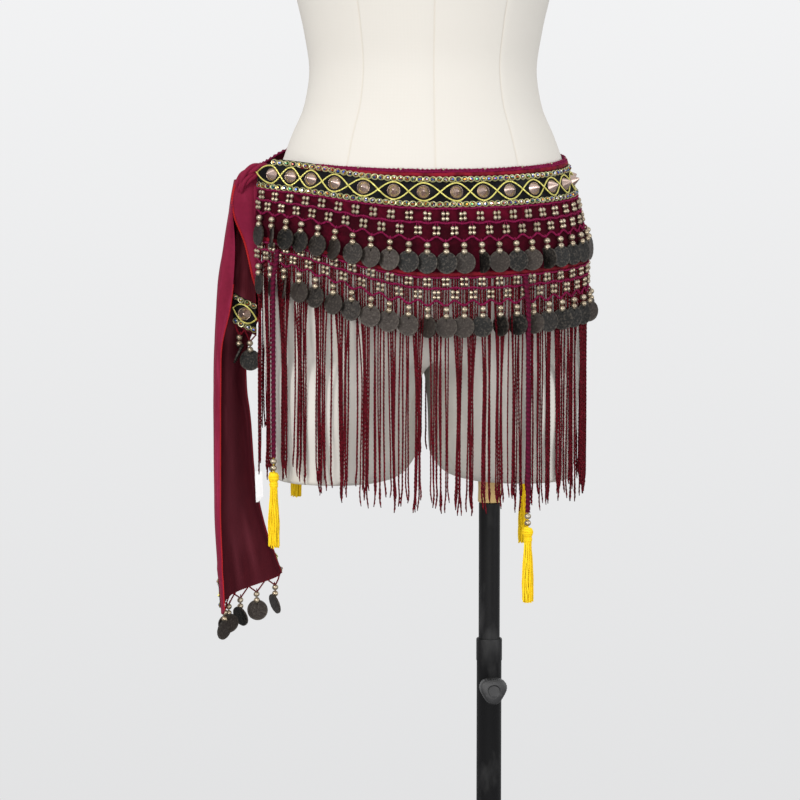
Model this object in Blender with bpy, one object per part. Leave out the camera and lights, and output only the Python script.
"""Belly dance hip belt, tied round a limbless dress form on an adjustable pole.

Metres, +Z up. The origin is the middle of the base's flat underside, on the pole's axis.
The form faces -Y, and its left hip, where the belt is tied, is at -X.
The belt is described by three distances: along it from its front end at the left hip,
down from its top edge, and out from its inner face.
"""

import bisect
import math

import bmesh
import bpy
from mathutils import Vector

MM = 0.001
SEAM = 0.3 * MM

# Dress form: the pole stands in the right leg stub, so the form's middle is beside it
FORM_X = -0.071
FORM_SIDES = 24
CROTCH = 0.721
FORM_PROFILE = (
    # height, half width, depth in front, depth behind
    (0.721, 0.1660, 0.0950, 0.1060),
    (0.760, 0.1680, 0.1010, 0.1200),
    (0.800, 0.1680, 0.1060, 0.1300),
    (0.830, 0.1675, 0.1080, 0.1300),
    (0.860, 0.1645, 0.1075, 0.1250),
    (0.890, 0.1580, 0.1050, 0.1160),
    (0.920, 0.1490, 0.1010, 0.1060),
    (0.950, 0.1385, 0.0960, 0.0960),
    (0.985, 0.1240, 0.0910, 0.0880),
    (1.020, 0.1190, 0.0880, 0.0850),
    (1.060, 0.1245, 0.0920, 0.0880),
    (1.110, 0.1355, 0.0990, 0.0925),
    (1.170, 0.1430, 0.1080, 0.0985),
    (1.220, 0.1500, 0.1220, 0.1000),
    (1.270, 0.1520, 0.1130, 0.1000),
    (1.330, 0.1560, 0.0880, 0.0950),
    (1.375, 0.1480, 0.0720, 0.0800),
    (1.402, 0.1180, 0.0610, 0.0700),
    (1.422, 0.0830, 0.0540, 0.0630),
    (1.437, 0.0590, 0.0490, 0.0560),
    (1.490, 0.0500, 0.0450, 0.0480),
)
LEG_PROFILE = (
    # height, outer side, inner side, depth in front, depth behind, roundness
    (0.712, 0.1655, 0.0060, 0.0940, 0.1040, 0.35),
    (0.690, 0.1645, 0.0060, 0.0910, 0.0985, 0.80),
    (0.650, 0.1630, 0.0062, 0.0880, 0.0940, 1.00),
    (0.625, 0.1605, 0.0070, 0.0860, 0.0915, 1.00),
    (0.607, 0.1590, 0.0160, 0.0850, 0.0900, 1.00),
    (0.597, 0.1570, 0.0290, 0.0835, 0.0885, 1.00),
    (0.594, 0.1540, 0.0400, 0.0790, 0.0840, 1.00),
)
SADDLE_POINTS = 5
LEG_OPENING = math.radians(-55)
NECK_CAP_RADIUS = 0.052
NECK_CAP_THICK = 0.010
NECK_CAP_EDGE = 2.0 * MM

# Stand
POLE_SIDES = 20
BASE_RADIUS = 0.170
BASE_EDGE = 3 * MM
BASE_RIM = 9 * MM
BASE_SLOPE_START = 12 * MM
BASE_SLOPE_HEIGHT = 14 * MM
HUB_FOOT_RADIUS = 0.030
HUB_FOOT = 0.019
HUB_NECK_RADIUS = 0.022
HUB_NECK = 0.023
HUB_RADIUS = 0.020
BASE_BORE_FLOOR = 0.012
HUB_TOP = 0.045
TUBE_RADIUS = 0.0132
TUBE_BORE = 0.0117
TUBE_TOP = 0.4215
POLE_RADIUS = 0.01125
POLE_BOTTOM = 0.175
POLE_TOP = 0.5667
PLUG_RADIUS = 0.0120
KNOB_HEIGHT = 0.371
KNOB_RADIUS = 0.0137
KNOB_LOBE = 0.10
KNOB_SIDES = 18
KNOB_PROFILE = (
    # along the screw, share of the radius
    (0.0, 0.45),
    (4 * MM, 0.50),
    (5 * MM, 0.92),
    (8 * MM, 1.00),
    (15 * MM, 1.00),
    (18 * MM, 0.80),
)
BOSS_SIDES = 10
BOSS_RADIUS = 0.0052
BOSS_START = 0.0119
BOSS_END = 0.0185

# Belt panel
FRONT_END = math.radians(-75)
BACK_END = math.radians(250)
FRONT_TOP = 0.9137
BACK_RISE = 0.0175
CLEARANCE = 1.3 * MM
CLOTH = 2.0 * MM
PANEL_DROP = 105 * MM
HEM_FLARE = 1.6 * MM
FLARE_START = 60 * MM
WIDEST_SIDE = 0.800
FULLEST_FRONT = 0.830
FULLEST_BACK = 0.800
END_HALF_WIDTH = 0.178
END_SQUEEZE = 0.17
END_BLEND = math.radians(40)
FRONT_SQUEEZE = 0.23
FRONT_SQUEEZE_FROM = math.radians(0)
FRONT_SQUEEZE_TO = math.radians(-60)
MEASURE_STEPS = 400
FRONT_STUDS = (21, 43, 65, 91, 123, 155, 186, 221, 250, 281, 312, 339, 365, 391)
STUD_COUNT = 27
PANEL_ROWS = (0.0, 5.5 * MM, 21.5 * MM, 36.5 * MM, 56 * MM, 86 * MM, PANEL_DROP)

# Trim band, by the distance down from the belt's top edge
TRIM_THICK = 1.3 * MM
CHAIN_RAISE = 1.2 * MM
TRIM_ROWS = (5.5 * MM, 8.7 * MM, 12.0 * MM, 31.5 * MM, 34.0 * MM, 36.5 * MM)
TRIM_MIDDLE = 21.5 * MM
STUD_RADIUS = 6.2 * MM
STUD_HEIGHT = 8.2 * MM
STUD_SIDES = 8

# Coin nets
DROP_COUNT = 46
NET_OUT = CLOTH + 0.8 * MM
NET_THICK = 1.2 * MM
UPPER_NET_ROWS = (37.5 * MM, 40 * MM, 51 * MM, 54 * MM, 66 * MM, 68.5 * MM)
LOWER_NET_ROWS = (106.3 * MM, 108.5 * MM, 116.0 * MM, 119 * MM, 130 * MM, 132.5 * MM)
BEAD_HALF = 2.9 * MM
FIRST_BEAD = 6.0 * MM
SECOND_BEAD = 13.0 * MM
COIN_NECK = 16.0 * MM
COIN_CENTRE = 26.0 * MM
COIN_RADIUS = 10.8 * MM
COIN_THICK = 1.6 * MM
COIN_NECK_HALF = 1.3 * MM
COIN_POINTS = 5
COIN_YAW = math.radians(10)
COIN_YAW_CHANGE = math.radians(2)
COIN_YAW_STEP = 1.7
DROP_OUT = 7.0 * MM
NUDGE = 0.5 * MM

# Fringe
STRAND_COUNT = 120
STRANDS_TO_CELL = 3
STRIP_DROP = 2.7 * MM
STRAND_LENGTH = 0.238
STRAND_WIDTH = 2.0 * MM

# Braids with tassels, and where they hang
BRAID_DIAMETER = 5.0 * MM
BRAIDS = (
    # name, angle round the form, top end down from the belt's edge, length
    ("front_left", math.radians(-59.6), 114.5 * MM, 0.212),
    ("front_right", math.radians(31.8), 109.0 * MM, 0.240),
    ("back_right", math.radians(138.7), 109.0 * MM, 0.233),
    ("back_left", math.radians(223.5), 109.0 * MM, 0.184),
)
BRAID_HEM_OUT = 6.5 * MM
BRAID_LOW_OUT = 12.8 * MM
BRAID_STEP = 14.5 * MM
BRAID_SWING = 34 * MM
TASSEL_SIDES = 6
TASSEL_PROFILE = (
    # down from the braid's end, radius
    (0.3 * MM, 1.2 * MM),
    (3.8 * MM, 3.4 * MM),
    (7.3 * MM, 1.2 * MM),
    (10.8 * MM, 3.4 * MM),
    (14.0 * MM, 1.8 * MM),
    (19.5 * MM, 5.8 * MM),
    (25.5 * MM, 4.2 * MM),
    (28.5 * MM, 5.2 * MM),
)
TASSEL_END = 94 * MM
TASSEL_SPREAD = 6.2 * MM
LOCK_SHRINK = 0.8

# Knot on the left hip
KNOT_TURN = math.radians(267.5)
KNOT_HALF_SPAN = math.radians(17.25)
KNOT_POINTS = 12
KNOT_PROFILE = (
    # height, share of the span, bulge
    (0.9250, 0.30, 4 * MM),
    (0.9180, 0.72, 9 * MM),
    (0.9070, 1.00, 15 * MM),
    (0.8930, 1.00, 22 * MM),
    (0.8683, 0.90, 24 * MM),
)

# Sashes, placed by the view's own axes: aside and away, turned a little from the form's
VIEW_TURN = math.radians(-7)
SASH_THICK = 1.6 * MM
FOLD_ROUND = 3 * MM
FOLD_FLAT = 9 * MM
FOLD_EASE = 2 * MM
SIDE_OFFSET = 4 * MM
LIP_TURN = 0.5 * MM
HEM_LEFT_IN = 6 * MM
LONG_SASH = (
    # height, left lip, left fold, right fold, right lip, front depth, back depth
    (0.8680, -0.1960, -0.2010, -0.1720, -0.1935, -0.030, 0.008),
    (0.8400, -0.1950, -0.2070, -0.1705, -0.1845, -0.030, 0.008),
    (0.8050, -0.1965, -0.2125, -0.1700, -0.1765, -0.030, 0.008),
    (0.7720, -0.2005, -0.2155, -0.1705, -0.1700, -0.029, 0.009),
    (0.7330, -0.2095, -0.2180, -0.1830, -0.1820, -0.026, 0.010),
    (0.6900, -0.2110, -0.2195, -0.1840, -0.1830, -0.024, 0.011),
    (0.6540, -0.2115, -0.2200, -0.1797, -0.1787, -0.023, 0.012),
    (0.5920, -0.2118, -0.2195, -0.1756, -0.1746, -0.023, 0.013),
    (0.5400, -0.2118, -0.2184, -0.1672, -0.1662, -0.023, 0.013),
)
LONG_SASH_HEM = (0.4560, 0.4520, 0.4520, 0.4680, 0.4850, 0.4925, 0.4930, 0.4935)
LONG_SASH_HEM_SPREAD = 0.0170
SHORT_SASH = (
    # height, left side, right side
    (0.8680, -0.1930, -0.1780),
    (0.8300, -0.1950, -0.1770),
    (0.7950, -0.1970, -0.1755),
)
SHORT_SASH_DEPTH = -0.016
SHORT_SASH_BULGE = 4 * MM
SHORT_SASH_HEM = (0.7565, 0.7500, 0.7440)
SHORT_SASH_HEM_SIDES = (-0.1975, -0.1745)
LONG_TRIM_COLUMNS = (2, 5)
LONG_DROPS_SPAN = (0.22, 0.93)
SHORT_DROPS_SPAN = (0.02, 0.98)
SASH_TRIM_HEIGHT = 33 * MM
SASH_TRIM_GAP = 0.8 * MM
LONG_SASH_DROPS = 5
SHORT_SASH_DROPS = 2
SASH_STRIP = 2.0 * MM
SASH_STRIP_GAP = 0.8 * MM

# Label on the long sash, above its hem
LABEL_TOP = 0.601
LABEL_BOTTOM = 0.568
LABEL_WIDTH = 8 * MM
LABEL_THICK = 0.8 * MM

COLOURS = {
    # linear red, green, blue, then roughness and metallic
    "linen": (0.80, 0.74, 0.63, 0.85, 0.0),
    "black_paint": (0.02, 0.02, 0.022, 0.45, 0.3),
    "black_plastic": (0.015, 0.015, 0.016, 0.35, 0.0),
    "wood": (0.36, 0.29, 0.17, 0.6, 0.0),
    "velvet": (0.10, 0.008, 0.018, 0.8, 0.0),
    "ribbon": (0.012, 0.012, 0.013, 0.7, 0.0),
    "net": (0.30, 0.27, 0.20, 0.35, 0.8),
    "thread": (0.13, 0.006, 0.014, 0.6, 0.0),
    "crochet": (0.35, 0.01, 0.12, 0.7, 0.0),
    "yellow": (0.80, 0.55, 0.02, 0.6, 0.0),
    "satin": (0.22, 0.012, 0.045, 0.55, 0.0),
    "label": (0.75, 0.75, 0.76, 0.7, 0.0),
}


def clear_scene():
    """Remove the objects that the scene starts with."""
    for item in list(bpy.data.objects):
        bpy.data.objects.remove(item, do_unlink=True)


def material(name, finish):
    """A Principled material of its own for each object."""
    red, green, blue, roughness, metallic = COLOURS[finish]
    made = bpy.data.materials.new(name)
    made.use_nodes = True
    shader = made.node_tree.nodes["Principled BSDF"]
    shader.inputs["Base Color"].default_value = (red, green, blue, 1.0)
    shader.inputs["Roughness"].default_value = roughness
    shader.inputs["Metallic"].default_value = metallic
    return made


def add_object(name, points, faces, finish, sharp=math.radians(35)):
    """Make one closed body from points and faces, with its faces turned outward."""
    mesh = bpy.data.meshes.new(name)
    mesh.from_pydata([tuple(point) for point in points], [], faces)
    work = bmesh.new()
    work.from_mesh(mesh)
    bmesh.ops.recalc_face_normals(work, faces=work.faces)
    work.to_mesh(mesh)
    work.free()
    mesh.shade_smooth()
    mesh.set_sharp_from_angle(angle=sharp)
    made = bpy.data.objects.new(name, mesh)
    bpy.context.scene.collection.objects.link(made)
    mesh.materials.append(material(name + "_look", finish))
    return made


def smooth(share):
    """Ease a share of 0 to 1 in and out."""
    share = min(max(share, 0.0), 1.0)
    return share * share * (3.0 - 2.0 * share)


def mix(low, high, share):
    """The value part of the way from low to high."""
    return low + (high - low) * share


def zip_rows(upper, lower):
    """Fill between two rows of (place, index) pairs that need not have the same spacing."""
    faces = []
    above = 0
    below = 0
    while above < len(upper) - 1 or below < len(lower) - 1:
        next_above = upper[above + 1][0] if above < len(upper) - 1 else math.inf
        next_below = lower[below + 1][0] if below < len(lower) - 1 else math.inf
        if next_above <= next_below:
            faces.append((upper[above][1], upper[above + 1][1], lower[below][1]))
            above += 1
        else:
            faces.append((upper[above][1], lower[below + 1][1], lower[below][1]))
            below += 1
    return faces


class Body:
    """Points and faces that are gathered for one object."""

    def __init__(self):
        self.points = []
        self.faces = []

    def add(self, point):
        """Keep a point and give its number."""
        self.points.append(point)
        return len(self.points) - 1

    def ring(self, points):
        """Keep a list of points and give their numbers."""
        return [self.add(point) for point in points]

    def bridge(self, first, second):
        """Join two rings of the same count all the way round."""
        count = len(first)
        for side in range(count):
            after = (side + 1) % count
            self.faces.append((first[side], first[after], second[after], second[side]))

    def strip(self, first, second):
        """Join two open rows of the same count."""
        for side in range(len(first) - 1):
            self.faces.append((first[side], first[side + 1], second[side + 1], second[side]))

    def cap(self, ring):
        """Close a ring with one face."""
        self.faces.append(tuple(ring))

    def finish(self, name, look):
        """Make the object."""
        return add_object(name, self.points, self.faces, look)


def turned(profile, sides, x=0.0):
    """A body turned about an upright axis from (radius, height) pairs, and its rings."""
    body = Body()
    rings = []
    for radius, height in profile:
        if radius == 0.0:
            rings.append([body.add(Vector((x, 0.0, height)))])
            continue
        ring = []
        for side in range(sides):
            angle = 2.0 * math.pi * side / sides
            ring.append(Vector((x + radius * math.cos(angle), radius * math.sin(angle), height)))
        rings.append(body.ring(ring))
    for lower, upper in zip(rings, rings[1:]):
        if len(lower) == 1 or len(upper) == 1:
            middle = lower[0] if len(lower) == 1 else upper[0]
            round_ring = upper if len(lower) == 1 else lower
            for side in range(sides):
                body.faces.append((round_ring[side], round_ring[(side + 1) % sides], middle))
        else:
            body.bridge(lower, upper)
    return body, rings


def turned_object(name, profile, sides, look, x=0.0):
    """Make a turned solid whose profile starts and ends on the axis."""
    body, _ = turned(profile, sides, x)
    body.finish(name, look)


def form_size(height):
    """Half width, depth in front and depth behind of the form at a height."""
    heights = [row[0] for row in FORM_PROFILE]
    place = bisect.bisect_right(heights, height)
    place = min(max(place, 1), len(heights) - 1)
    low = FORM_PROFILE[place - 1]
    high = FORM_PROFILE[place]
    share = min(max((height - low[0]) / (high[0] - low[0]), 0.0), 1.0)
    return tuple(mix(low[column], high[column], share) for column in (1, 2, 3))


def form_ring(height):
    """The form's outline at a height, from the middle front by the right side."""
    width, front, back = form_size(height)
    ring = []
    for side in range(FORM_SIDES):
        angle = 2.0 * math.pi * side / FORM_SIDES
        depth = front if math.cos(angle) > 0.0 else back
        ring.append(Vector((FORM_X + width * math.sin(angle), -depth * math.cos(angle), height)))
    return ring


def leg_ring(row, side):
    """One leg stub's outline: the outer half of the form's ring, then the inner points."""
    height, outer, inner, front, back, roundness = row
    width, form_front, form_back = form_size(CROTCH)
    middle = (outer + inner) / 2.0
    half = (outer - inner) / 2.0
    half_ring = FORM_SIDES // 2
    ring = []
    for place in range(half_ring + 1 + SADDLE_POINTS):
        if place <= half_ring:
            angle = math.pi * place / half_ring
            depth = form_front if math.cos(angle) > 0.0 else form_back
            start = Vector((width * math.sin(angle), -depth * math.cos(angle), height))
            leg_angle = mix(LEG_OPENING, math.pi - LEG_OPENING, place / half_ring)
        else:
            share = (place - half_ring) / (SADDLE_POINTS + 1)
            start = Vector((0.0, mix(form_back, -form_front, share), height))
            leg_angle = mix(math.pi - LEG_OPENING, 2.0 * math.pi + LEG_OPENING, share)
        depth = front if math.cos(leg_angle) > 0.0 else back
        leg = Vector((middle + half * math.sin(leg_angle), -depth * math.cos(leg_angle), height))
        point = start.lerp(leg, roundness)
        ring.append(Vector((FORM_X + side * point.x, point.y, height)))
    return ring


def dress_form():
    """Torso from the crotch to the neck, and two leg stubs that share the saddle points."""
    body = Body()
    rings = [body.ring(form_ring(row[0])) for row in FORM_PROFILE]
    for lower, upper in zip(rings, rings[1:]):
        body.bridge(lower, upper)
    body.cap(rings[-1])
    _, front, back = form_size(CROTCH)
    saddle = []
    for place in range(1, SADDLE_POINTS + 1):
        share = place / (SADDLE_POINTS + 1)
        saddle.append(body.add(Vector((FORM_X, mix(back, -front, share), CROTCH))))
    half_ring = FORM_SIDES // 2
    bottom = rings[0]
    right = bottom[:half_ring + 1] + saddle
    left = [bottom[0]] + bottom[:half_ring - 1:-1] + saddle
    for side, top in ((1.0, right), (-1.0, left)):
        above = top
        for row in LEG_PROFILE:
            ring = body.ring(leg_ring(row, side))
            body.bridge(above, ring)
            above = ring
        body.cap(above)
    return body.finish("dress_form", "linen")


def neck_cap():
    """Flat turned cap on the neck."""
    bottom = FORM_PROFILE[-1][0] + SEAM
    top = bottom + NECK_CAP_THICK
    profile = (
        (0.0, bottom),
        (NECK_CAP_RADIUS, bottom),
        (NECK_CAP_RADIUS, top - NECK_CAP_EDGE),
        (NECK_CAP_RADIUS - NECK_CAP_EDGE, top),
        (0.0, top),
    )
    turned_object("neck_cap", profile, FORM_SIDES, "wood", x=FORM_X)


def stand():
    """Base plate, outer tube with its clamp boss, inner pole, plug and knob."""
    bore = TUBE_RADIUS + SEAM / math.cos(math.pi / POLE_SIDES)
    base_profile = (
        (0.0, 0.0),
        (BASE_RADIUS - BASE_EDGE, 0.0),
        (BASE_RADIUS, BASE_EDGE),
        (BASE_RADIUS, BASE_RIM),
        (BASE_RADIUS - BASE_SLOPE_START, BASE_SLOPE_HEIGHT),
        (HUB_FOOT_RADIUS, HUB_FOOT),
        (HUB_NECK_RADIUS, HUB_NECK),
        (HUB_RADIUS, HUB_TOP),
        (bore, HUB_TOP),
        (bore, BASE_BORE_FLOOR),
        (0.0, BASE_BORE_FLOOR),
    )
    turned_object("base_plate", base_profile, POLE_SIDES, "black_paint")

    tube_profile = (
        (TUBE_RADIUS, BASE_BORE_FLOOR + SEAM),
        (TUBE_RADIUS, TUBE_TOP),
        (TUBE_BORE, TUBE_TOP),
        (TUBE_BORE, BASE_BORE_FLOOR + SEAM),
    )
    tube_body, rings = turned(tube_profile, POLE_SIDES)
    tube_body.bridge(rings[-1], rings[0])
    tube = tube_body.finish("outer_tube", "black_paint")
    join_boss(tube)

    pole_profile = (
        (0.0, POLE_BOTTOM),
        (POLE_RADIUS, POLE_BOTTOM),
        (POLE_RADIUS, POLE_TOP),
        (0.0, POLE_TOP),
    )
    turned_object("inner_pole", pole_profile, POLE_SIDES, "black_paint")
    plug_top = LEG_PROFILE[-1][0] - SEAM
    plug_profile = (
        (0.0, POLE_TOP + SEAM),
        (PLUG_RADIUS, POLE_TOP + SEAM),
        (PLUG_RADIUS, plug_top),
        (0.0, plug_top),
    )
    turned_object("socket_plug", plug_profile, POLE_SIDES, "wood")
    clamp_knob()


def join_boss(tube):
    """Add the threaded boss that carries the clamp screw to the outer tube."""
    body = Body()
    rings = []
    for depth in (BOSS_START, BOSS_END):
        ring = []
        for side in range(BOSS_SIDES):
            angle = 2.0 * math.pi * side / BOSS_SIDES
            across = BOSS_RADIUS * math.cos(angle)
            up = BOSS_RADIUS * math.sin(angle)
            ring.append(Vector((across, -depth, KNOB_HEIGHT + up)))
        rings.append(body.ring(ring))
    body.bridge(rings[0], rings[1])
    body.cap(rings[0])
    body.cap(rings[1])
    boss = body.finish("boss_cutter", "black_paint")
    boss.hide_render = True
    boss.display_type = "WIRE"
    union = tube.modifiers.new("boss", "BOOLEAN")
    union.operation = "UNION"
    union.solver = "EXACT"
    union.object = boss


def clamp_knob():
    """Three-lobed knob that turns about the clamp screw's axis."""
    origin = Vector((0.0, -BOSS_END - SEAM, KNOB_HEIGHT))
    body = Body()
    rings = []
    for depth, share in KNOB_PROFILE:
        ring = []
        for side in range(KNOB_SIDES):
            angle = 2.0 * math.pi * side / KNOB_SIDES
            radius = KNOB_RADIUS * share * (1.0 + KNOB_LOBE * math.cos(3.0 * angle - math.pi / 2.0))
            ring.append(Vector((radius * math.cos(angle), -depth, radius * math.sin(angle))))
        rings.append(body.ring(ring))
    for lower, upper in zip(rings, rings[1:]):
        body.bridge(lower, upper)
    body.cap(rings[0])
    body.cap(rings[-1])
    knob = body.finish("clamp_knob", "black_plastic")
    knob.location = origin


def end_share(turn):
    """How near an angle is to the tied ends: 0 away from them, 1 at and between them."""
    front = smooth((FRONT_END + END_BLEND - turn) / END_BLEND)
    back = smooth((turn - BACK_END + END_BLEND) / END_BLEND)
    return max(front, back)


def around(turn, height, out):
    """A point by the angle round the hips, the height and the distance out from the belt's face."""
    width = form_size(max(height, WIDEST_SIDE))[0] + CLEARANCE
    if math.cos(turn) > 0.0:
        depth = form_size(max(height, FULLEST_FRONT))[1] + CLEARANCE
    else:
        depth = form_size(max(height, FULLEST_BACK))[2] + CLEARANCE
    width = mix(width, END_HALF_WIDTH, end_share(turn))
    normal = Vector((math.sin(turn) / width, -math.cos(turn) / depth, 0.0)).normalized()
    place = Vector((FORM_X + width * math.sin(turn), -depth * math.cos(turn), height))
    return place + normal * out


def top_edge(turn):
    """Height of the belt's top edge: low in front, higher behind."""
    return FRONT_TOP + BACK_RISE * (1.0 - math.cos(turn))


def squeeze(turn):
    """How much of its full drop the belt keeps: it is drawn up towards the knot."""
    front = FRONT_SQUEEZE * smooth((FRONT_SQUEEZE_FROM - turn) / (FRONT_SQUEEZE_FROM - FRONT_SQUEEZE_TO))
    back = END_SQUEEZE * smooth((turn - BACK_END + END_BLEND) / END_BLEND)
    return 1.0 - max(front, back)


def measure_turns():
    """Distance along the belt at even steps of angle, measured half way down the panel."""
    lengths = [0.0]
    turns = [FRONT_END]
    before = None
    for step in range(MEASURE_STEPS + 1):
        turn = mix(FRONT_END, BACK_END, step / MEASURE_STEPS)
        point = around(turn, top_edge(turn) - PANEL_DROP / 2.0 * squeeze(turn), CLOTH)
        if before is not None:
            flat = Vector((point.x - before.x, point.y - before.y))
            lengths.append(lengths[-1] + flat.length)
            turns.append(turn)
        before = point
    return lengths, turns


ALONG, TURNS = measure_turns()
BELT_LENGTH = ALONG[-1]
DROP_PITCH = BELT_LENGTH / DROP_COUNT


def turn_at(along):
    """Angle round the hips at a distance along the belt."""
    place = min(max(bisect.bisect_right(ALONG, along), 1), len(ALONG) - 1)
    share = (along - ALONG[place - 1]) / (ALONG[place] - ALONG[place - 1])
    return mix(TURNS[place - 1], TURNS[place], share)


def along_at(turn):
    """Distance along the belt at an angle round the hips."""
    place = min(max(bisect.bisect_right(TURNS, turn), 1), len(TURNS) - 1)
    share = (turn - TURNS[place - 1]) / (TURNS[place] - TURNS[place - 1])
    return mix(ALONG[place - 1], ALONG[place], share)


def belt_place(along, drop, out):
    """A point of the belt, by the distance along it, down from its top edge and outward."""
    turn = turn_at(along)
    flare = HEM_FLARE * smooth((drop - FLARE_START) / (PANEL_DROP - FLARE_START))
    return around(turn, top_edge(turn) - drop * squeeze(turn), out + flare)


def belt_keep(along):
    """Share of a drop that is kept at a distance along the belt."""
    return squeeze(turn_at(along))


def wall(name, outer, inner, look):
    """A cloth wall between two grids of points, given as lists of rows."""
    body = Body()
    front = [body.ring(row) for row in outer]
    rear = [body.ring(row) for row in inner]
    for upper, lower in zip(front, front[1:]):
        body.strip(upper, lower)
    for upper, lower in zip(rear, rear[1:]):
        body.strip(upper, lower)
    body.strip(front[0], rear[0])
    body.strip(front[-1], rear[-1])
    for column in (0, -1):
        body.strip([row[column] for row in front], [row[column] for row in rear])
    return body.finish(name, look)


def stud_places():
    """Places of the studs along the belt: closer together near the knot, as in front, then even."""
    places = [place * MM for place in FRONT_STUDS]
    step = (BELT_LENGTH - places[-1]) / (STUD_COUNT - len(places) + 0.5)
    while len(places) < STUD_COUNT:
        places.append(places[-1] + step)
    return places


def panel_columns():
    """Places along the belt: its ends, each stud and half-way between two studs."""
    studs = stud_places()
    columns = [0.0, studs[0]]
    for first, second in zip(studs, studs[1:]):
        columns.extend(((first + second) / 2.0, second))
    return columns + [BELT_LENGTH]


def belt_cloth():
    """The wrapped panel, open only where the knot is."""
    columns = panel_columns()
    outer = [[belt_place(along, drop, CLOTH) for along in columns] for drop in PANEL_ROWS]
    inner = [[belt_place(along, drop, 0.0) for along in columns] for drop in PANEL_ROWS]
    wall("belt_cloth", outer, inner, "velvet")


def trim(name, place, keep, columns, out):
    """A ribbon with two raised chain rows and conical studs at every second column."""
    body = Body()
    studs = (len(columns) - 1) // 2
    raised = (0.0, CHAIN_RAISE, 0.0, 0.0, CHAIN_RAISE, 0.0)
    top = out + TRIM_THICK
    rows = []
    for drop, rise in zip(TRIM_ROWS, raised):
        rows.append(body.ring([place(along, drop, top + rise) for along in columns]))
    inner = []
    for drop in (TRIM_ROWS[0], TRIM_MIDDLE, TRIM_ROWS[-1]):
        inner.append(body.ring([place(along, drop, out) for along in columns]))
    for upper, lower in ((0, 1), (1, 2), (3, 4), (4, 5)):
        body.strip(rows[upper], rows[lower])
    for upper, lower in zip(inner, inner[1:]):
        body.strip(upper, lower)
    body.strip(rows[0], inner[0])
    body.strip(rows[-1], inner[-1])
    for column in (0, -1):
        edge = [row[column] for row in rows] + [row[column] for row in reversed(inner)]
        body.cap(edge)
    for stud in range(studs):
        left = 2 * stud
        centre = columns[left + 1]
        corners = []
        for column in (left, left + 1, left + 2):
            for row, drop in ((2, TRIM_ROWS[2]), (3, TRIM_ROWS[3])):
                angle = math.atan2(TRIM_MIDDLE - drop, columns[column] - centre)
                corners.append((angle % (2.0 * math.pi), rows[row][column]))
        corners.sort()
        base = []
        for side in range(STUD_SIDES):
            angle = 2.0 * math.pi * (side + 0.5) / STUD_SIDES
            aside = STUD_RADIUS * math.cos(angle)
            up = STUD_RADIUS * math.sin(angle) / keep(centre)
            point = place(centre + aside, TRIM_MIDDLE - up, top)
            base.append((angle, body.add(point)))
        tip = body.add(place(centre, TRIM_MIDDLE, top + STUD_HEIGHT))
        outer_loop = corners + [(corners[0][0] + 2.0 * math.pi, corners[0][1])]
        inner_loop = base + [(base[0][0] + 2.0 * math.pi, base[0][1])]
        body.faces.extend(zip_rows(outer_loop, inner_loop))
        for side in range(STUD_SIDES):
            body.faces.append((base[side][1], base[(side + 1) % STUD_SIDES][1], tip))
    return body.finish(name, "ribbon")


def coin_drop(body, root, place, keep, along, start, out, yaw):
    """Two beads and a coin hung from a root ring of four points: two in front, two behind."""
    tangent = place(along + NUDGE, start, 0.0) - place(along - NUDGE, start, 0.0)
    tangent = Vector((tangent.x, tangent.y, 0.0)).normalized()
    normal = Vector((tangent.y, -tangent.x, 0.0))
    if normal.dot(place(along, start, NUDGE) - place(along, start, 0.0)) < 0.0:
        normal = -normal
    flat = tangent * math.cos(yaw) + normal * math.sin(yaw)
    thick = normal * math.cos(yaw) - tangent * math.sin(yaw)

    def centre(below):
        """The drop's middle line at a real distance below the net."""
        return place(along, start + below / keep(along), out)

    above = root
    levels = (
        (FIRST_BEAD, BEAD_HALF, BEAD_HALF, tangent, normal),
        (SECOND_BEAD, BEAD_HALF, BEAD_HALF, tangent, normal),
        (COIN_NECK, COIN_NECK_HALF, COIN_THICK / 2.0, flat, thick),
    )
    for below, half, deep, across, outward in levels:
        middle = centre(below)
        ring = body.ring([
            middle - across * half + outward * deep,
            middle + across * half + outward * deep,
            middle + across * half - outward * deep,
            middle - across * half - outward * deep,
        ])
        body.bridge(above, ring)
        above = ring
    middle = centre(COIN_CENTRE)
    front = [above[0]]
    rear = [above[3]]
    for point in range(COIN_POINTS):
        angle = 2.0 * math.pi * (point + 1) / (COIN_POINTS + 1)
        offset = flat * (-COIN_RADIUS * math.sin(angle)) + Vector((0.0, 0.0, COIN_RADIUS * math.cos(angle)))
        front.append(body.add(middle + offset + thick * (COIN_THICK / 2.0)))
        rear.append(body.add(middle + offset - thick * (COIN_THICK / 2.0)))
    front.append(above[1])
    rear.append(above[2])
    body.cap(front)
    body.cap(rear)
    body.strip(front, rear)


def coin_yaw(number):
    """Each coin is turned a little, so that its neighbour's edge passes behind it."""
    return COIN_YAW + COIN_YAW_CHANGE * math.sin(COIN_YAW_STEP * number)


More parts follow.
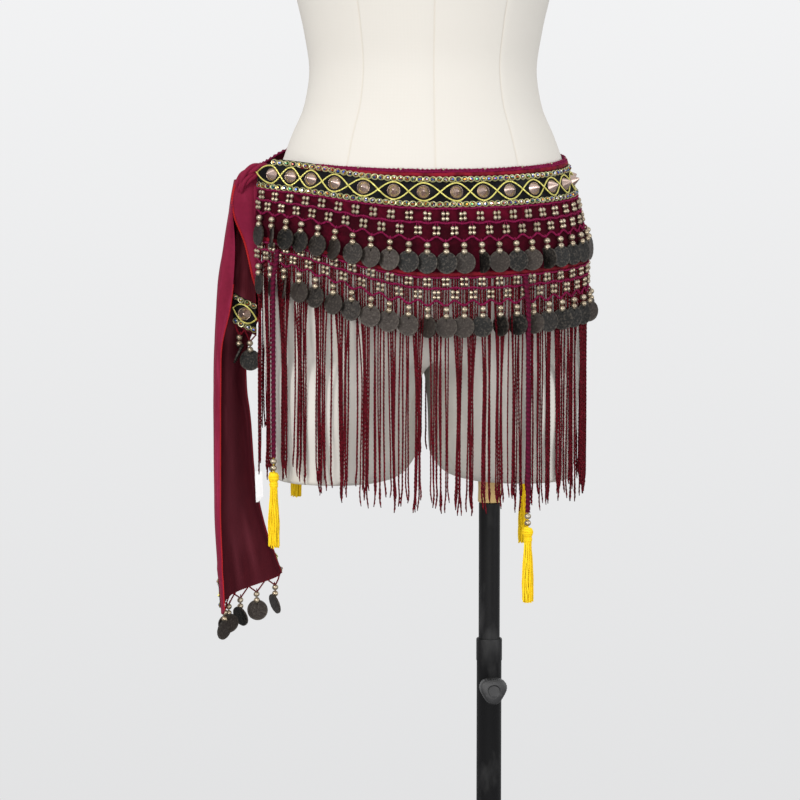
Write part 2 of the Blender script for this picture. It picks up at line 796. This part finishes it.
def coin_net(name, rows):
    """A crochet net with two rows of bead clusters and open gaps, and its coin drops."""
    body = Body()
    pitch = DROP_PITCH
    wide = [pitch * cell for cell in range(DROP_COUNT + 1)]
    narrow = [0.0]
    for cell in range(DROP_COUNT):
        narrow.extend((pitch * (cell + 0.25), pitch * (cell + 0.75)))
    narrow.append(BELT_LENGTH)
    spacing = (wide, narrow, narrow, narrow, narrow, wide)
    front = []
    rear = []
    for drop, places in zip(rows, spacing):
        front.append([(along, body.add(belt_place(along, drop, NET_OUT + NET_THICK))) for along in places])
        rear.append([(along, body.add(belt_place(along, drop, NET_OUT))) for along in places])

    def wall_between(row, first, second):
        """Close the net's thickness along a stretch of one row."""
        body.faces.append((front[row][first][1], front[row][second][1],
                           rear[row][second][1], rear[row][first][1]))

    def side_wall(row, column):
        """Close the net's thickness down one side of a cell."""
        body.faces.append((front[row][column][1], front[row + 1][column][1],
                           rear[row + 1][column][1], rear[row][column][1]))

    for side in (front, rear):
        for row in (0, 2, 4):
            body.faces.extend(zip_rows(side[row], side[row + 1]))
    for cell in range(DROP_COUNT):
        wall_between(0, cell, cell + 1)
    for row in (0, 2, 4):
        side_wall(row, 0)
        side_wall(row, -1)
    cells = len(narrow) - 1
    for row, solid in ((1, 1), (3, 0)):
        for cell in range(cells):
            if cell % 2 == solid:
                for side in (front, rear):
                    body.faces.append((side[row][cell][1], side[row][cell + 1][1],
                                       side[row + 1][cell + 1][1], side[row + 1][cell][1]))
                side_wall(row, cell)
                side_wall(row, cell + 1)
            else:
                wall_between(row, cell, cell + 1)
                wall_between(row + 1, cell, cell + 1)
    for cell in range(DROP_COUNT):
        root = [front[5][cell][1], front[5][cell + 1][1], rear[5][cell + 1][1], rear[5][cell][1]]
        along = pitch * (cell + 0.5)
        coin_drop(body, root, belt_place, belt_keep, along, rows[-1], DROP_OUT, coin_yaw(cell))
    body.finish(name, "net")


def thread_fringe():
    """Strands fused at their roots into a narrow strip under the hem."""
    body = Body()
    cells = STRAND_COUNT // STRANDS_TO_CELL
    coarse = [BELT_LENGTH * cell / cells for cell in range(cells + 1)]
    fine = [BELT_LENGTH * cell / STRAND_COUNT for cell in range(STRAND_COUNT + 1)]
    top = PANEL_DROP + SEAM / (1.0 - FRONT_SQUEEZE)
    bottom = top + STRIP_DROP
    sides = []
    for out in (CLOTH, 0.0):
        upper = [(along, body.add(belt_place(along, top, out))) for along in coarse]
        lower = [(along, body.add(belt_place(along, bottom, out))) for along in fine]
        body.faces.extend(zip_rows(upper, lower))
        sides.append((upper, lower))
    (front_top, front_low), (rear_top, rear_low) = sides
    body.strip([place[1] for place in front_top], [place[1] for place in rear_top])
    for end in (0, -1):
        body.faces.append((front_top[end][1], rear_top[end][1], rear_low[end][1], front_low[end][1]))
    for strand in range(STRAND_COUNT):
        root = [front_low[strand][1], front_low[strand + 1][1],
                rear_low[strand + 1][1], rear_low[strand][1]]
        middle = (fine[strand] + fine[strand + 1]) / 2.0
        down = bottom + STRAND_LENGTH / belt_keep(middle)
        half = STRAND_WIDTH / 2.0
        tip = body.ring([
            belt_place(middle - half, down, CLOTH),
            belt_place(middle + half, down, CLOTH),
            belt_place(middle + half, down, 0.0),
            belt_place(middle - half, down, 0.0),
        ])
        body.bridge(root, tip)
        body.cap(tip)
    body.finish("thread_fringe", "thread")


def braid_route(turn, top, length):
    """Points down a braid's middle line, from the hem to its lower end."""
    along = DROP_PITCH * round(along_at(turn) / DROP_PITCH)
    steps = round(length / BRAID_STEP)
    points = []
    for step in range(steps + 1):
        down = length * step / steps
        out = mix(BRAID_HEM_OUT, BRAID_LOW_OUT, smooth(down / BRAID_SWING))
        points.append(belt_place(along, top + down / belt_keep(along), out))
    return points


def braid(name, points):
    """A free cord as a round tube with closed ends."""
    curve = bpy.data.curves.new(name, "CURVE")
    curve.dimensions = "3D"
    curve.bevel_depth = BRAID_DIAMETER / 2.0
    curve.bevel_resolution = 2
    curve.use_fill_caps = True
    spline = curve.splines.new("POLY")
    spline.points.add(len(points) - 1)
    for slot, point in zip(spline.points, points):
        slot.co = (point.x, point.y, point.z, 1.0)
    made = bpy.data.objects.new(name, curve)
    bpy.context.scene.collection.objects.link(made)
    curve.materials.append(material(name + "_look", "crochet"))


def tassel(name, end):
    """Two beads, a bound head and locks that part below it."""
    body = Body()
    rings = []
    for down, radius in TASSEL_PROFILE:
        ring = []
        for side in range(TASSEL_SIDES):
            angle = 2.0 * math.pi * side / TASSEL_SIDES
            ring.append(end + Vector((radius * math.cos(angle), radius * math.sin(angle), -down)))
        rings.append(body.ring(ring))
    for upper, lower in zip(rings, rings[1:]):
        body.bridge(upper, lower)
    body.cap(rings[0])
    root_down = TASSEL_PROFILE[-1][0]
    middle = body.add(end - Vector((0.0, 0.0, root_down)))
    low_middle = Vector((0.0, 0.0, -TASSEL_END))
    for side in range(TASSEL_SIDES):
        first = rings[-1][side]
        second = rings[-1][(side + 1) % TASSEL_SIDES]
        corners = [low_middle]
        for step in (side, side + 1):
            angle = 2.0 * math.pi * step / TASSEL_SIDES
            spread = Vector((TASSEL_SPREAD * math.cos(angle), TASSEL_SPREAD * math.sin(angle), 0.0))
            corners.append(low_middle + spread)
        heart = sum(corners, Vector()) / len(corners)
        tip = body.ring([end + heart.lerp(corner, LOCK_SHRINK) for corner in corners])
        body.bridge([middle, first, second], tip)
        body.cap(tip)
    body.finish(name, "yellow")


def braids_and_tassels():
    """The four braids round the hem, each with its tassel."""
    for name, turn, top, length in BRAIDS:
        points = braid_route(turn, top, length)
        braid("braid_" + name, points)
        tassel("tassel_" + name, points[-1])


def knot():
    """The rounded lump of the tied ends, between the belt's two ends."""
    body = Body()
    rings = []
    for height, share, bulge in KNOT_PROFILE:
        ring = []
        for point in range(KNOT_POINTS):
            angle = 2.0 * math.pi * point / KNOT_POINTS
            turn = KNOT_TURN + KNOT_HALF_SPAN * share * math.cos(angle)
            rise = bulge if math.sin(angle) > 0.0 else CLOTH / 2.0
            out = CLOTH / 2.0 + rise * math.sin(angle)
            ring.append(around(turn, height, out))
        rings.append(body.ring(ring))
    for upper, lower in zip(rings, rings[1:]):
        body.bridge(upper, lower)
    body.cap(rings[0])
    body.cap(rings[-1])
    body.finish("knot", "satin")


def from_view(aside, away, height):
    """A point by the view's axes: aside to the right, away from the viewer, and its height."""
    right = Vector((math.cos(VIEW_TURN), math.sin(VIEW_TURN)))
    deep = Vector((-math.sin(VIEW_TURN), math.cos(VIEW_TURN)))
    flat = right * aside + deep * away
    return Vector((FORM_X + flat.x, flat.y, height))


def long_sash_sections():
    """Sections of the long sash, a channel open towards the viewer, from its left lip round."""
    sections = []
    for height, left_lip, left, right, right_lip, front, back in LONG_SASH:
        middle = (front + back) / 2.0
        near = middle + SIDE_OFFSET
        sides = (left_lip, left + FOLD_ROUND, left, left + FOLD_FLAT, right - FOLD_FLAT, right)
        depths = (front, front + FOLD_EASE, middle, back - FOLD_EASE, back, near)
        if right_lip < right:
            sides += (right - FOLD_EASE, right_lip)
            depths += (front + FOLD_ROUND, front)
        else:
            sides += (right + LIP_TURN, right_lip)
            depths += (near - FOLD_EASE, near - SIDE_OFFSET)
        sections.append([from_view(side, deep, height) for side, deep in zip(sides, depths)])
    last = LONG_SASH[-1]
    front, back = last[5], last[6]
    middle = (front + back) / 2.0
    left = last[2] + HEM_LEFT_IN
    right = last[3] + LONG_SASH_HEM_SPREAD
    near = middle + SIDE_OFFSET
    sides = (left + SIDE_OFFSET, left + FOLD_ROUND, left, left + FOLD_FLAT, right - FOLD_FLAT, right)
    sides += (right + LIP_TURN, right + 2.0 * LIP_TURN)
    depths = (front, front + FOLD_EASE, middle, back - FOLD_EASE, back)
    depths += (near, near - FOLD_EASE, near - SIDE_OFFSET)
    hem = []
    for side, deep, height in zip(sides, depths, LONG_SASH_HEM):
        hem.append(from_view(side, deep, height))
    sections.append(hem)
    return sections


def short_sash_sections():
    """Sections of the short sash, a narrow strip bowed towards the viewer."""
    sections = []
    columns = len(SHORT_SASH_HEM)
    for height, left, right in SHORT_SASH:
        row = []
        for column in range(columns):
            share = column / (columns - 1)
            bow = SHORT_SASH_BULGE * math.sin(math.pi * share)
            row.append(from_view(mix(left, right, share), SHORT_SASH_DEPTH - bow, height))
        sections.append(row)
    hem = []
    for column, height in enumerate(SHORT_SASH_HEM):
        share = column / (columns - 1)
        bow = SHORT_SASH_BULGE * math.sin(math.pi * share)
        side = mix(SHORT_SASH_HEM_SIDES[0], SHORT_SASH_HEM_SIDES[1], share)
        hem.append(from_view(side, SHORT_SASH_DEPTH - bow, height))
    sections.append(hem)
    return sections


def section_normals(section):
    """Outward directions along one section, level with the floor."""
    normals = []
    for column in range(len(section)):
        before = section[max(column - 1, 0)]
        after = section[min(column + 1, len(section) - 1)]
        run = after - before
        normals.append(Vector((run.y, -run.x, 0.0)).normalized())
    return normals


def sash_wall(name, sections, facing):
    """A cloth wall whose middle surface runs through the sections."""
    outer = []
    inner = []
    for section in sections:
        normals = section_normals(section)
        offset = facing * SASH_THICK / 2.0
        outer.append([point + normal * offset for point, normal in zip(section, normals)])
        inner.append([point - normal * offset for point, normal in zip(section, normals)])
    wall(name, outer, inner, "satin")


def sash_hem_surface(sections, facing):
    """A place function over the sash's lowest stretch, and its columns' distances along the hem.

    The function takes the distance along the hem, the distance down from the top of the
    sash's trim, and the distance out from the cloth's middle surface.
    """
    hem = sections[-1]
    above = sections[-2]
    lengths = [0.0]
    for first, second in zip(hem, hem[1:]):
        lengths.append(lengths[-1] + (second - first).length)
    hem_normals = section_normals(hem)
    above_normals = section_normals(above)

    def place(along, drop, out):
        """A point near the sash's hem."""
        column = min(max(bisect.bisect_right(lengths, along), 1), len(lengths) - 1)
        share = (along - lengths[column - 1]) / (lengths[column] - lengths[column - 1])
        low = hem[column - 1].lerp(hem[column], share)
        high = above[column - 1].lerp(above[column], share)
        low_normal = hem_normals[column - 1].lerp(hem_normals[column], share)
        high_normal = above_normals[column - 1].lerp(above_normals[column], share)
        rise = SASH_TRIM_HEIGHT - (drop - TRIM_ROWS[0])
        climb = rise / (high.z - low.z)
        return low.lerp(high, climb) + low_normal.lerp(high_normal, climb) * (facing * out)

    return place, lengths


def full_drop(along):
    """The sashes keep their full drop everywhere."""
    return 1.0


def with_middles(places):
    """A row of places with the middle of each stretch added."""
    row = [places[0]]
    for first, second in zip(places, places[1:]):
        row.extend(((first + second) / 2.0, second))
    return row


def sash_drops(name, sections, facing, span, count):
    """Beads and coins on a narrow strip along a sash's hem."""
    place, lengths = sash_hem_surface(sections, facing)
    start = lengths[-1] * span[0]
    length = lengths[-1] * (span[1] - span[0])
    body = Body()
    hem_drop = TRIM_ROWS[0] + SASH_TRIM_HEIGHT + SASH_STRIP_GAP
    low_drop = hem_drop + SASH_STRIP
    half = SASH_THICK / 2.0
    columns = [start + length * cell / count for cell in range(count + 1)]
    rows = []
    for drop, out in ((hem_drop, half), (low_drop, half), (low_drop, -half), (hem_drop, -half)):
        rows.append(body.ring([place(along, drop, out) for along in columns]))
    body.strip(rows[0], rows[1])
    body.strip(rows[2], rows[3])
    body.strip(rows[3], rows[0])
    for end in (0, -1):
        body.faces.append(tuple(row[end] for row in rows))
    for cell in range(count):
        root = [rows[1][cell], rows[1][cell + 1], rows[2][cell + 1], rows[2][cell]]
        along = start + length * (cell + 0.5) / count
        coin_drop(body, root, place, full_drop, along, low_drop, 0.0, coin_yaw(cell) * 2.0)
    body.finish(name, "net")


def sashes():
    """Both tie ends with their trims and drops."""
    long_sections = long_sash_sections()
    short_sections = short_sash_sections()
    sash_wall("sash_long", long_sections, 1.0)
    sash_wall("sash_short", short_sections, 1.0)
    place, columns = sash_hem_surface(long_sections, -1.0)
    far_side = with_middles(columns[LONG_TRIM_COLUMNS[0]:LONG_TRIM_COLUMNS[1] + 1])
    trim("sash_long_trim", place, full_drop, far_side, SASH_THICK / 2.0 + SASH_TRIM_GAP)
    place, columns = sash_hem_surface(short_sections, 1.0)
    trim("sash_short_trim", place, full_drop, columns, SASH_THICK / 2.0 + SASH_TRIM_GAP)
    sash_drops("sash_long_drops", long_sections, 1.0, LONG_DROPS_SPAN, LONG_SASH_DROPS)
    sash_drops("sash_short_drops", short_sections, 1.0, SHORT_DROPS_SPAN, SHORT_SASH_DROPS)
    care_label(long_sections)


def care_label(sections):
    """The blank white label that stands out from the long sash's right edge."""
    body = Body()
    rings = []
    for height in (LABEL_TOP, LABEL_BOTTOM):
        upper = min((row for row in sections if row[-1].z >= height), key=lambda row: row[-1].z)
        lower = max((row for row in sections if row[-1].z < height), key=lambda row: row[-1].z)
        share = (upper[-1].z - height) / (upper[-1].z - lower[-1].z)
        edge = upper[-1].lerp(lower[-1], share)
        inner = upper[-2].lerp(lower[-2], share)
        run = (edge - inner).normalized()
        normal = Vector((run.y, -run.x, 0.0)) * (LABEL_THICK / 2.0)
        start = edge + run * SEAM
        end = start + run * LABEL_WIDTH
        rings.append(body.ring([start - normal, end - normal, end + normal, start + normal]))
    body.bridge(rings[0], rings[1])
    body.cap(rings[0])
    body.cap(rings[1])
    body.finish("care_label", "label")


def main():
    """Build every piece."""
    clear_scene()
    stand()
    dress_form()
    neck_cap()
    belt_cloth()
    trim("trim_band", belt_place, belt_keep, panel_columns(), CLOTH + SEAM)
    coin_net("coin_net_upper", UPPER_NET_ROWS)
    coin_net("coin_net_lower", LOWER_NET_ROWS)
    thread_fringe()
    braids_and_tassels()
    knot()
    sashes()


main()
